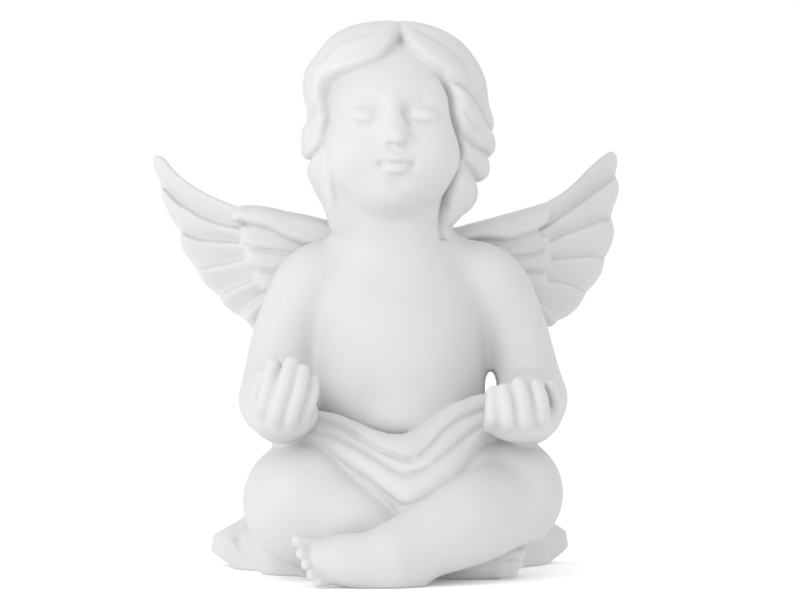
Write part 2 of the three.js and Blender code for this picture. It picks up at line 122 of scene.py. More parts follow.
def drawn(stations, facing, steps=5, tip=1.0, furrows=0, furrow_depth=0.2):
    """A form drawn out along a smooth line. A station is its x, y, z, half width and half depth, and the
    depth, along `facing`, is the width if left out. Furrows run along it, and fade towards its ends."""
    full = [(*s[:4], s[4] if len(s) > 4 else s[3]) for s in stations]
    line = smoothed(full, steps)
    line[:, 3:] = np.maximum(line[:, 3:], 0.25)
    reach = float(line[:, 3:].max())

    def length(x, y, z, start, end, fade):
        a, b = start[:3], end[:3]
        along = (b - a) / np.linalg.norm(b - a)
        outward = np.array(facing((a + b) / 2) if callable(facing) else facing, float)
        outward -= outward.dot(along) * along
        outward /= np.linalg.norm(outward)
        sideways = np.cross(outward, along)
        (ux, uy, uz), (ox, oy, oz), (sx, sy, sz) = along.tolist(), outward.tolist(), sideways.tolist()
        ax, ay, az = a.tolist()
        px, py, pz = x - ax, y - ay, z - az
        run = px * ux + py * uy + pz * uz
        span = float(np.linalg.norm(b - a))
        t = np.clip(run / span, 0, 1)
        wide = float(start[3]) + t * float(end[3] - start[3])
        deep = float(start[4]) + t * float(end[4] - start[4])
        across = px * sx + py * sy + pz * sz
        gap = rounded(across, px * ox + py * oy + pz * oz, run - t * span, wide, deep, wide * tip)
        if furrows:
            strength = fade[0] + t * (fade[1] - fade[0])
            within = np.clip(across / wide, -1, 1)
            gap += furrow_depth * strength * np.cos(math.pi * furrows * within)
        return gap

    def distance(x, y, z):
        gap = np.full((x.size, y.size, z.size), air + reach, np.float32)
        for i, (start, end) in enumerate(zip(line, line[1:])):
            fade = [math.sin(math.pi * (i + k) / (len(line) - 1)) ** 0.5 for k in (0, 0.999)]
            low = np.minimum(start, end)[:3] - reach - 2.5
            high = np.maximum(start, end)[:3] + reach + 2.5
            part = []
            for axis, *ends in zip((x, y, z), low, high):
                part.append(slice(*np.searchsorted(axis.ravel(), ends).tolist()))
            cx, cy, cz = part
            if min(c.stop - c.start for c in part) < 1:
                continue
            near = gap[cx, cy, cz]
            np.minimum(near, length(x[cx], y[:, cy], z[:, :, cz], start, end, fade), out=near)
        return gap

    return line[:, :3].min(0) - reach, line[:, :3].max(0) + reach, distance


def lay_on(form, soft):
    """Adds a form to the clay and smooths the joint over, `soft` wide."""
    low, high, distance = form
    part, (x, y, z) = stretch(np.subtract(low, soft + 1), np.add(high, soft + 1))
    gap = distance(x, y, z)
    joint = np.maximum(soft - np.abs(clay[part] - gap), 0) / soft
    clay[part] = np.minimum(clay[part], gap) - joint**2 * soft / 4


def cut_away(form, soft):
    """Takes a form out of the clay and rounds the edge, `soft` wide."""
    low, high, distance = form
    part, (x, y, z) = stretch(np.subtract(low, soft + 1), np.add(high, soft + 1))
    gap = -distance(x, y, z)
    joint = np.maximum(soft - np.abs(clay[part] - gap), 0) / soft
    clay[part] = np.maximum(clay[part], gap) + joint**2 * soft / 4


def press(points, depth, width, through=None, fade=0.25, steps=5):
    """Draws a groove along a smooth line, or a ridge where the depth is below nought. It dies away at
    both ends, and it reaches some way through the clay in one direction, if that is given."""
    line = smoothed([p[:3] for p in points], steps)
    way = np.zeros(3) if through is None else np.array(through, float) / np.linalg.norm(through)
    wx, wy, wz = way.tolist()
    flat = line - 0.85 * np.outer(line @ way, way)
    margin = 3 * width + 8 * np.abs(way)
    part, (x, y, z) = stretch(line.min(0) - margin, line.max(0) + margin)
    through_part = 0.85 * (x * wx + y * wy + z * wz)
    fx, fy, fz = x - through_part * wx, y - through_part * wy, z - through_part * wz
    mark = np.zeros(clay[part].shape, np.float32)
    last = len(flat) - 1
    for i, (a, b) in enumerate(zip(flat, flat[1:])):
        ux, uy, uz = ((b - a) / np.dot(b - a, b - a)).tolist()
        ax, ay, az = a.tolist()
        dx, dy, dz = (b - a).tolist()
        t = np.clip((fx - ax) * ux + (fy - ay) * uy + (fz - az) * uz, 0, 1)
        off = (fx - ax - t * dx) ** 2 + (fy - ay - t * dy) ** 2 + (fz - az - t * dz) ** 2
        place = (i + t) / last
        strength = np.clip(np.minimum(place, 1 - place) / fade, 0, 1) if fade else 1.0
        np.maximum(mark, strength * np.exp(-off / width**2), out=mark)
    clay[part] += depth * mark


def on_side(stations, side):
    return [(side * x, *rest) for x, *rest in stations]


# The trunk has plump hips and belly under a narrow chest, rounded shoulders and a short thick neck.

trunk = [
    (0, 6, 8, 17, 12), (0, 5, 18, 18, 14), (0, 3.2, 29, 16.6, 14.2), (0, 3, 40, 15.8, 13),
    (0, 4, 49, 15.6, 11.2), (0, 5, 56, 12.5, 9), (0, 5, 60, 8.5, 7),
]
neck = [(0, 5.5, 57, 9, 7), (-0.8, 2.8, 63, 10.1, 8.1), (-1, 1.4, 69, 10.4, 9.2)]
lay_on(drawn(trunk, front, steps=14, tip=0.5), 1)
lay_on(drawn(neck, front, steps=14, tip=0.5), 5)
belly = egg((-1.5, -2.8, 29), (12.5, 13, 9))
lay_on(belly, 4)

# The head is a child's, turned a little to its right, with full cheeks and a small chin. Closed lids, a
# short nose and parted lips are modelled on it, in the head's own frame: across it, ahead of its middle
# and up.

gaze = -9
eye_middle = 0.2
nose_middle = 0.9
lip_middle = 0.7
skull = (-0.5, 1, 81.8)
gaze_angle = math.radians(gaze)
ahead_way = (math.sin(gaze_angle), -math.cos(gaze_angle), 0)


def on_face(across, ahead, z, *rest):
    x = skull[0] + across * math.cos(gaze_angle) + ahead * math.sin(gaze_angle)
    y = skull[1] + across * math.sin(gaze_angle) - ahead * math.cos(gaze_angle)
    return (x, y, z, *rest)


lay_on(egg(skull, (13.8, 13.2, 15), turned=gaze), 3)
lower_face = egg(on_face(-0.3, 3.6, 75.4), (11.7, 10, 9.9), turned=gaze)
lay_on(lower_face, 3)
for side in (-1, 1):
    cheek = egg(on_face(-0.4 + side * 6.1, 7, 75), (5.5, 5.2, 5.6), turned=gaze)
    lay_on(cheek, 3.5)
chin = egg(on_face(-0.6, 7.3, 69.3), (5.4, 4.9, 4), turned=gaze)
lay_on(chin, 3)
lower_jaw = egg((-10, 0.9, 66.5), (3.2, 3.8, 5))
lay_on(lower_jaw, 3)
upper_jaw = egg((-11.6, 1.4, 70.5), (2.8, 3.6, 4.6))
lay_on(upper_jaw, 2.5)

for side in (-1, 1):
    socket = [on_face(side * 2.6, 12.4, 82.9), on_face(side * 5.6, 12.4, 83.8)]
    press(socket, 1.1, 1.9, fade=0.01)
    lid = egg(on_face(eye_middle + side * 5.1, 11, 82.2), (2.6, 1.7, 1.5), turned=gaze)
    lay_on(lid, 0.9)
bridge = [on_face(0.2, 12, 84, 0.8), on_face(0.2, 12.5, 81.6, 1), on_face(0.7, 13.2, 79.4, 1.3)]
lay_on(drawn(bridge, front), 2.4)
nose_tip = egg(on_face(nose_middle, 13.7, 78.2), (1.8, 1.9, 1.5), turned=gaze)
lay_on(nose_tip, 1.1)
beside_nose = [on_face(2.1, 12.4, 83), on_face(2.9, 12.2, 79.8)]
press(beside_nose, 0.6, 0.9, fade=0.01)
for side in (-1, 1):
    nose_wing = egg(on_face(nose_middle + side * 1.9, 12.9, 77.7), (1.05, 1.3, 1))
    lay_on(nose_wing, 0.5)
    lash = [
        on_face(eye_middle + side * 2.9, 12.6, 81.5),
        on_face(eye_middle + side * 4.1, 12.7, 81),
        on_face(eye_middle + side * 5.6, 12.6, 80.8),
        on_face(eye_middle + side * 7.4, 11.8, 81.2),
    ]
    press(lash, 0.42, 0.3, ahead_way, fade=0.25)
    nostril = [
        on_face(nose_middle + side * 0.8, 14.3, 76.8),
        on_face(nose_middle + side * 1.5, 13.9, 76.8),
    ]
    press(nostril, 0.5, 0.5, fade=0.01)
under_nose = [on_face(0.8, 13.2, 76), on_face(0.8, 13.2, 75)]
press(under_nose, 0.15, 0.6, ahead_way)

above_lip = egg(on_face(lip_middle, 12.2, 75.1), (3.2, 1.6, 1.5), turned=gaze)
lay_on(above_lip, 1)
upper_lip = [
    on_face(lip_middle - 2.7, 12.5, 74.1, 0.5),
    on_face(lip_middle - 1.2, 13.3, 74.6, 0.8),
    on_face(lip_middle, 13.6, 74.5, 0.8),
    on_face(lip_middle + 1.2, 13.3, 74.6, 0.8),
    on_face(lip_middle + 2.7, 12.5, 74.1, 0.5),
]
lower_lip = [
    on_face(lip_middle - 2.3, 12.4, 73.1, 0.6),
    on_face(lip_middle - 0.8, 13.1, 72.8, 1.1),
    on_face(lip_middle + 0.8, 13.1, 72.8, 1.1),
    on_face(lip_middle + 2.3, 12.4, 73.1, 0.6),
]
lay_on(drawn(upper_lip, upward), 0.7)
lay_on(drawn(lower_lip, upward), 0.5)
mouth = [
    on_face(lip_middle - 2.9, 12.2, 73.6),
    on_face(lip_middle - 1.3, 13, 73.9),
    on_face(lip_middle, 13.2, 73.8),
    on_face(lip_middle + 1.3, 13, 73.9),
    on_face(lip_middle + 2.9, 12.2, 73.6),
]
press(mouth, 0.3, 0.34, ahead_way, fade=0.08)
for side in (-1, 1):
    corner_of_mouth = [
        on_face(lip_middle + side * 2.9, 12, 73.6),
        on_face(lip_middle + side * 3, 11.8, 73.3),
    ]
    press(corner_of_mouth, 0.6, 0.55, ahead_way, fade=0.01)
under_lip = [on_face(lip_middle - 1.4, 12, 70.4), on_face(lip_middle + 1.4, 12, 70.4)]
press(under_lip, 0.4, 0.9, ahead_way)

# The hair is a thick cap, carved in broad wavy locks that part above the brow. It is drawn out flat on a
# map: from the point of the cap that faces front, so far along the cap, in the direction in which the
# point lies from there. `hair_reach` is how far out the hair stands round the head's outline, by the
# angle from +X towards the crown.

cap = (-0.5, 2.2, 82.4)
cap_half = (17.4, 15.2, 17.6)
map_scale = 16.5
map_step = 0.3
map_half = 42
lock_rise = 2
lock_round = 3.4
back_start = 28
back_rise = 1.4
hair_reach = [
    (-62, 1.25), (-56, 1.22), (-50, 1.22), (-44, 1.18), (-39, 1.12), (-30, 1.12), (-24, 1.09),
    (-17, 1.075), (-6, 1.04), (-1, 1.012), (5, 0.983), (10, 0.975), (16, 0.987), (24, 1.012), (36, 1.026),
    (51, 1.037), (65, 1.023), (88, 1.002), (97, 1.002), (107, 1.025), (117, 1.057), (129, 1.076),
    (140, 1.055), (152, 1.06), (160, 1.03), (166, 0.99), (172, 0.945), (177, 0.915), (181, 0.93),
    (186, 0.97), (192, 1), (198, 1.03), (210, 1.075), (221, 1.121), (233, 1.186), (241, 1.24),
    (298, 1.25),
]
fringe = [
    (0.3, 18.4), (-0.8, 16.2), (-2.3, 14), (-3.7, 11.8), (-5.2, 10.8), (-7, 10.1), (-9.6, 9.6),
    (-12.1, 9.2), (-14.6, 8.9), (-16.6, 8.2), (-17.6, 6.6), (-18, 4.5), (-18.3, 2.7),
]
left_edge = [(-16.9, 0.8), (-16.5, -0.6), (-16.8, -2.4), (-17, -4.6)]
left_nape = [
    (-15.8, -6.2), (-14.6, -7.2), (-13.8, -8.9), (-13.2, -11.2), (-13.2, -14.5), (-13.3, -17),
    (-12.2, -19.5), (-11.3, -24), (-10, -36),
]
right_nape = [(8, -36), (8.1, -24), (8.5, -20.5), (9.8, -18), (9.9, -15.2), (10.3, -12.6), (11, -10.9)]
right_edge = [
    (11.8, -10), (12.2, -8), (12.3, -6.5), (12, -4.5), (11.4, -2), (10.8, 0.9), (10.7, 3.4), (9.8, 6.1),
    (8.4, 8.4),
]
right_brow = [(6.8, 9.2), (5.1, 10.4), (3.5, 12), (1.8, 13.8), (0.9, 15.6)]
opening = [*fringe, *left_edge, *left_nape, *right_nape, *right_edge, *right_brow]

# The lines between one lock and the next, from the face outwards.
first_left = [(-12.5, 1), (-14.4, 1.8), (-15.6, 2.5), (-17.8, 1.6), (-20.1, 0.4), (-24, -1.5), (-30, -3)]
second_left = [(-12.5, -4), (-15.9, -4.8), (-18, -7), (-20.5, -9.2), (-24, -12), (-29, -14)]
first_right = [
    (4, 7), (6.9, 7), (9.7, 6.7), (11.9, 6), (13.9, 5), (15.9, 3.5), (17.9, 1.5), (20.5, -1.5), (29, -6),
]
second_right = [(8, -3), (11.2, -3.9), (13.4, -4.8), (16.4, -6.5), (19.8, -7.6), (22.4, -9.8), (28, -13)]
third_right = [(10, -8), (13.8, -9.9), (16, -12), (18.3, -14.2), (20.5, -16.5), (26, -20)]
locks = [
    [*first_left, (-31, 8), (-23, 24), (-10, 32), (3, 33), (1.8, 24), (1.2, 19), (0.6, 16), (0.3, 12)],
    [
        (-12.5, 1), (-14.4, 2.4), (-15.6, 3.8), (-17.8, 3.2), (-20.1, 2.2), (-24, 0.5), (-30, -1),
        (-30, -14), *reversed(second_left),
    ],
    [*second_left, (-28, -26), (-14, -36), (-8, -36), (-9, -12)],
    [
        (0.3, 12), (-0.1, 16), (-0.6, 19), (-1.2, 24), (-3, 33), (10, 32), (23, 24), (31, 8),
        *reversed(first_right),
    ],
    [*first_right, (29, -13), *reversed(second_right)],
    [*second_right, (27, -20), *reversed(third_right)],
    [*third_right, (24, -29), (12, -36), (7, -36), (7, -12)],
]
# Finer furrows along the locks: their points, depth and width.
strands = [
    (
        [(-2.1, 15.7), (-4.6, 13.4), (-7.3, 12.6), (-10.2, 11.7), (-12.8, 10.3), (-15.6, 8.5), (-18, 5)],
        0.45, 1.3,
    ),
    (
        [(-2.6, 18.6), (-5.9, 17.3), (-9.3, 16.7), (-13, 15.5), (-16.5, 13), (-19.5, 9.5), (-21.5, 4)],
        0.5, 1.5,
    ),
    ([(-1.5, 23), (-7, 22.5), (-13, 20.5), (-18.5, 16.5), (-22.5, 11), (-25, 4)], 0.5, 1.6),
    ([(-16.3, 0.5), (-18, -2), (-20, -5), (-23, -8)], 0.4, 1.1),
    ([(-16.6, -7.9), (-17.6, -11.1), (-17.4, -15), (-16, -19)], 0.4, 1.1),
    ([(1.5, 19.5), (5.5, 17), (9.5, 14), (12.4, 11.1), (14, 8.4), (16.6, 5.3), (19.5, 2)], 0.55, 1.3),
    ([(1.5, 24.5), (7, 22.5), (12, 19), (16.5, 14.5), (19.5, 9.5), (22, 4)], 0.5, 1.6),
    ([(9.9, 5), (10.9, 2.3), (12.1, 0.3), (13.7, -1.5), (15.6, -2.8), (18.5, -4.3)], 0.6, 0.7),
    ([(13, -5.6), (14.5, -7.6), (16.8, -9.6), (20, -12)], 0.4, 1.1),
    ([(14.7, -12.5), (15.8, -15.5), (15.5, -19), (13.7, -22)], 0.45, 1.3),
]


def from_outline(outline, u, v, closed=True):
    """Distance to a line on a flat map, negative inside it where it is closed."""
    ends = np.array(outline, float)
    starts, ends = (ends, np.roll(ends, -1, 0)) if closed else (ends[:-1], ends[1:])
    nearest = np.full(np.broadcast(u, v).shape, 1e6)
    inside = np.zeros(nearest.shape, bool)
    for (au, av), (bu, bv) in zip(starts.tolist(), ends.tolist()):
        du, dv = bu - au, bv - av
        t = np.clip(((u - au) * du + (v - av) * dv) / (du * du + dv * dv + 1e-9), 0, 1)
        nearest = np.minimum(nearest, (u - au - t * du) ** 2 + (v - av - t * dv) ** 2)
        if closed and av != bv:
            inside ^= ((av > v) != (bv > v)) & (u < au + (v - av) * du / dv)
    return np.where(inside, -np.sqrt(nearest), np.sqrt(nearest))


ticks = np.arange(-map_half, map_half, map_step)
map_u, map_v = ticks[:, None], ticks[None, :]
relief = np.zeros((ticks.size, ticks.size))
for outline in locks:
    edge = np.clip(1 + from_outline(outline, map_u, map_v) / lock_round, 0, 1)
    relief = np.maximum(relief, lock_rise * np.sqrt(1 - edge**2))
for line, depth, width in strands:
    path = smoothed(line, 4)
    off = from_outline(path, map_u, map_v, closed=False)
    to_first, to_last = (np.hypot(map_u - at_u, map_v - at_v) for at_u, at_v in (line[0], line[-1]))
    fading = np.clip(np.minimum(to_first, to_last) / 3, 0, 1)
    relief -= depth * np.exp(-((off / width) ** 2)) * fading
relief = np.maximum(relief, back_rise * np.clip((np.hypot(map_u, map_v) - back_start) / 4, 0, 1))
first_bearing = hair_reach[0][0]
bearing = np.mod(np.degrees(np.arctan2(map_v, map_u)) - first_bearing, 360) + first_bearing
outline_reach = np.interp(bearing, *zip(*hair_reach))
from_front = np.degrees(np.hypot(map_u, map_v) / map_scale)
share_of_reach = np.interp(from_front, (40, 78, 102, 150), (0, 1, 1, 0))
cap_reach = 1 + (outline_reach - 1) * share_of_reach + (relief - lock_rise + 0.2) / map_scale
clear_of_face = -from_outline(opening, map_u, map_v)


def read_map(values, u, v):
    """The map's values at some places, read between its points."""
    i = np.clip((u + map_half) / map_step, 0, ticks.size - 1.001)
    k = np.clip((v + map_half) / map_step, 0, ticks.size - 1.001)
    i0, k0 = i.astype(int), k.astype(int)
    di, dk = i - i0, k - k0
    near = values[i0, k0] * (1 - di) + values[i0 + 1, k0] * di
    far = values[i0, k0 + 1] * (1 - di) + values[i0 + 1, k0 + 1] * di
    return near * (1 - dk) + far * dk


def press_together(lump, soft):
    """Joins a lump to the figure with a crease `soft` wide."""
    joint = np.maximum(soft - np.abs(clay - lump), 0) / soft
    return np.minimum(clay, lump) - joint**2 * soft / 4


body_clay = clay
clay = np.full(body_clay.shape, air, np.float32)
part, (x, y, z) = stretch((-23, -16, 60), (22, 21, 102.5))
nx, ny, nz = (x - cap[0]) / cap_half[0], (y - cap[1]) / cap_half[1], (z - cap[2]) / cap_half[2]
radius = np.sqrt(nx**2 + ny**2 + nz**2) + 1e-6
slope = np.sqrt((nx / cap_half[0]) ** 2 + (ny / cap_half[1]) ** 2 + (nz / cap_half[2]) ** 2) + 1e-6
out = np.arccos(np.clip(-ny / radius, -1, 1)) * map_scale / (np.hypot(nx, nz) + 1e-6)
u, v = out * nx, out * nz
shell = (radius - read_map(cap_reach, u, v)) * radius / slope
brink = read_map(clear_of_face, u, v)
brink_round = 1.5
corner = np.maximum(brink_round - np.abs(shell - brink), 0) / brink_round
clay[part] = np.maximum(shell, brink) + corner**2 * brink_round / 4
groove_depth = 1.7
beside_cheek = np.clip((u - 5) / 3, 0, 1) * np.clip((9 - v) / 3, 0, 1) * np.clip((v + 25) / 6, 0, 1)
body_clay[part] += groove_depth * beside_cheek * np.exp(-(((brink - 0.4) / 0.75) ** 2))
nape = [(-0.5, 9, 74, 11.5, 6.6), (-0.3, 9, 68, 9.8, 5.8), (-0.2, 8.6, 63.5, 6.8, 3.9)]
lay_on(drawn(nape, front, tip=0.5), 2)

# Behind, the hair falls from the crown in three tiers of plain wavy locks. A tier is its number of locks,
# how high they start, in degrees up from the cap's middle, their half width, and one lock's stations: so
# many degrees on round the head, so many up, a share of the width, and how far out from the middle.
tiers = [
    (
        8, 76, 3.1,
        [
            (0, 0, 0.3, 0.94), (7, -16, 0.75, 0.96), (13, -34, 1, 0.96), (7, -52, 0.85, 0.97),
            (9, -66, 0.25, 0.97),
        ],
    ),
    (9, 18, 3, [(0, 0, 0.4, 0.91), (7, -13, 1, 0.96), (4, -28, 0.95, 0.98), (9, -43, 0.25, 1)]),
    (8, -16, 2.8, [(0, 0, 0.4, 0.91), (6, -13, 1, 0.96), (3, -26, 0.95, 0.98), (7, -40, 0.25, 1)]),
]
first_azimuth, azimuth_span = 118, 98


def on_cap(azimuth, elevation, wide, lift):
    a, e = math.radians(azimuth), math.radians(elevation)
    way = (math.cos(e) * math.sin(a), -math.cos(e) * math.cos(a), math.sin(e))
    x, y, z = (c + w * half * lift for c, w, half in zip(cap, way, cap_half))
    return (x, y, z, wide, max(0.5, wide * 0.6))


def off_cap(point):
    return (point - np.array(cap)) / np.square(cap_half)


for row, (count, top, wide, fall) in enumerate(tiers):
    for i in range(count):
        azimuth = first_azimuth + azimuth_span * (i + 0.5 * (row % 2)) / (count - 1)
        line = [on_cap(azimuth + turn, top + rise, wide * w, lift) for turn, rise, w, lift in fall]
        lay_on(drawn(line, off_cap, furrows=2, furrow_depth=0.25), 0.5)
hair_clay = clay
clay = body_clay
clay = press_together(hair_clay, 0.5)

# At the left jaw a last strand runs down into the neck, with a fine line beside it.
along_view = (0.1045, 0.9945, 0)
behind_jaw = [(-12.9, -2.4, 75, 1.2), (-12.5, -3, 71, 1.7), (-11.9, -1.8, 67, 1.6), (-11, 0.6, 63, 1.2)]
lay_on(drawn(behind_jaw, front), 1.5)
beside_jaw = [
    (-14.2, -2, 79), (-13.7, -3, 77.6), (-13, -3, 74.4), (-12.4, -3, 71.2), (-11.7, -3, 67.8),
    (-11.4, -2, 64.5),
]
press(beside_jaw, 0.4, 0.5, along_view, fade=0.3)

# The arms are held in at the elbows, with the forearms forward, the palms up and the fingers curled back
# towards the shoulders. A digit is its line from root to tip and its half thickness. A slit is left open
# between the forearm at +X and the belly.

hands = {
    -1: {
        "elbow": 22.3,
        "wrist": (22, -14, 29.6),
        "palm": (22.2, -18.4, 29.6),
        "palm_half": (5.9, 5.4, 4.4),
        "fingers": [
            [(25.8, -20, 29), (26, -22.8, 31.2), (25.2, -23.2, 34.8), (24.4, -22, 38)],
            [(23.6, -20.5, 27.8), (23.9, -24, 30), (22.6, -24.8, 34.6), (21.4, -23.2, 38.2)],
            [(21.2, -20.5, 27.4), (21.3, -24, 29.4), (20.1, -24.8, 33.8), (19.4, -23.6, 37)],
            [(19, -20, 28), (18.8, -22.8, 29.8), (17.8, -23.4, 33), (17.5, -22.4, 35.4)],
        ],
        "thick": (1.6, 1.6, 1.5, 1.3),
        "thumb": [(26, -17.5, 30), (26.4, -19.6, 33), (25.6, -20.2, 35.6)],
        "thumb_thick": 2,
    },
    1: {
        "elbow": 23.7,
        "wrist": (21.8, -14, 29),
        "palm": (18.8, -18.6, 28.4),
        "palm_half": (5.9, 5.2, 4.1),
        "fingers": [
            [(22.4, -20, 27.6), (22.3, -23.6, 29), (22, -24.3, 32), (21.4, -23, 34.3)],
            [(19.4, -20.5, 26.8), (19.4, -24.2, 28.4), (19, -24.9, 31.8), (18.4, -23.4, 34.6)],
            [(16.4, -20.5, 26.8), (16.3, -24, 28.4), (16, -24.6, 31.3), (15.8, -23.2, 33.6)],
            [(13.9, -20, 27.4), (13.7, -23, 28.8), (13.7, -23.6, 31.2), (14, -22.6, 33.2)],
        ],
        "thick": (1.6, 1.6, 1.5, 1.4),
        "thumb": [(25.6, -17, 29.4), (25.4, -20, 31.8), (24.2, -21.6, 34.3)],
        "thumb_thick": 1.2,
    },
}
digit_taper = 0.16
for side, hand in hands.items():
    elbow, wrist = hand["elbow"], hand["wrist"]
    upper = [
        (11, 5.2, 54.6, 6.2),
        (elbow - 6.8, 5, 52, 6.9),
        (elbow - 3, 4.5, 44.5, 6.5),
        (elbow - 0.9, 3, 37, 6.4),
        (elbow, 0.5, 31.5, 6.8),
    ]
    fore = [(elbow - 0.3, -1, 31.2, 6.2), ((elbow + wrist[0]) / 2, -7, 30.2, 6.2), (*wrist, 5.2)]
    lay_on(drawn(on_side(upper, side), front, steps=12), 2.5)
    lay_on(drawn(on_side(fore, side), upward, steps=12), 2)
    x, y, z = hand["palm"]
    lay_on(egg((side * x, y, z), hand["palm_half"]), 2.5)
    for line, thick in zip([*hand["fingers"], hand["thumb"]], [*hand["thick"], hand["thumb_thick"]]):
        taper = [thick * (1 - digit_taper * i / len(line)) for i in range(len(line))]
        digit = [(*point, half) for point, half in zip(line, taper)]
        lay_on(drawn(on_side(digit, side), front), 0.6)
slit = egg((16.7, 0, 33.4), (1.15, 17, 3), turned=-6)
cut_away(slit, 0.6)

# The legs are crossed. The one at +X lies in front with its foot on its outer edge, and the other is
# tucked behind it. The toes are a stack that shrinks towards the floor.

back_thigh = [(-9, 5, 15, 10), (-14.5, -4, 14.6, 11), (-17.8, -9.5, 13.6, 11.2)]
back_shin = [(-16, -10.5, 11.6, 9.2), (-8, -16, 9, 8), (2, -15, 6.4, 5.6), (10, -11, 4, 3.6)]
front_thigh = [(9, 5, 15, 10), (14.5, -3, 15, 10.4), (18, -8.5, 14.8, 10.4)]
front_shin = [(17, -10.5, 13.4, 9.4), (10, -19, 10.5, 8.6), (2, -25, 7.6, 6.6), (-4, -28, 6, 5.2)]
front_foot = [
    (-0.2, -27.8, 3.8, 3.2, 4.4), (-5, -29.2, 4.2, 4, 5.2), (-12, -29, 4.7, 4.2, 4.6),
    (-15.5, -28.2, 5, 4, 3.6),
]
back_foot = [(3, -13, 2.2, 3.4, 2.4), (9, -15, 2.5, 3.2, 2.6), (15.5, -15.2, 2.9, 2.6, 2.9)]
toes = [
    ((-17, -28.6, 7.2), (-3.6, -0.8, 0.9), 1.25),
    ((-16.6, -28.8, 5.7), (-3.5, -1.4, 0.3), 1.05),
    ((-16, -29, 4.2), (-3.3, -1.6, 0), 1.02),
    ((-15.4, -29.2, 2.6), (-3, -1.5, -0.2), 1),
    ((-14.8, -29.2, 1.4), (-2.4, -1.3, -0.2), 0.95),
    ((16, -16.2, 4.5), (3.4, 0.2, 0), 1.25),
    ((16, -16.6, 2.7), (3.2, 0.2, 0), 1),
    ((15.6, -16.7, 1.2), (2.8, 0.2, 0), 0.9),
]
lay_on(drawn(back_thigh, upward, steps=14), 2)
lay_on(drawn(back_shin, upward, steps=14), 2.5)
lay_on(drawn(front_thigh, upward, steps=14), 1.2)
lay_on(drawn(front_shin, upward, steps=14), 0.8)
lay_on(drawn(front_foot, upward, steps=14), 2)
under_shin = [(6, -24, -0.6, 3), (12, -21.5, 0.2, 3.6), (19, -17, 1.4, 4.2), (24, -12, 1.6, 4)]
cut_away(drawn(under_shin, upward), 1.5)
lay_on(drawn(back_foot, upward, steps=14), 0.8)
for (x, y, z), (dx, dy, dz), thick in toes:
    lay_on(drawn([(x, y, z, thick), (x + dx, y + dy, z + dz, thick * 0.95)], front, steps=2), 0.35)

# Each wing is a curved sheet: a rolled leading edge over six long feathers behind and three short coverts
# in front. Outlines are given as seen from the front, [x, z], for the wing at +X, and mirrored for the
# other. A feather lies between two lines, which run from its root to a notch in the wing's edge.

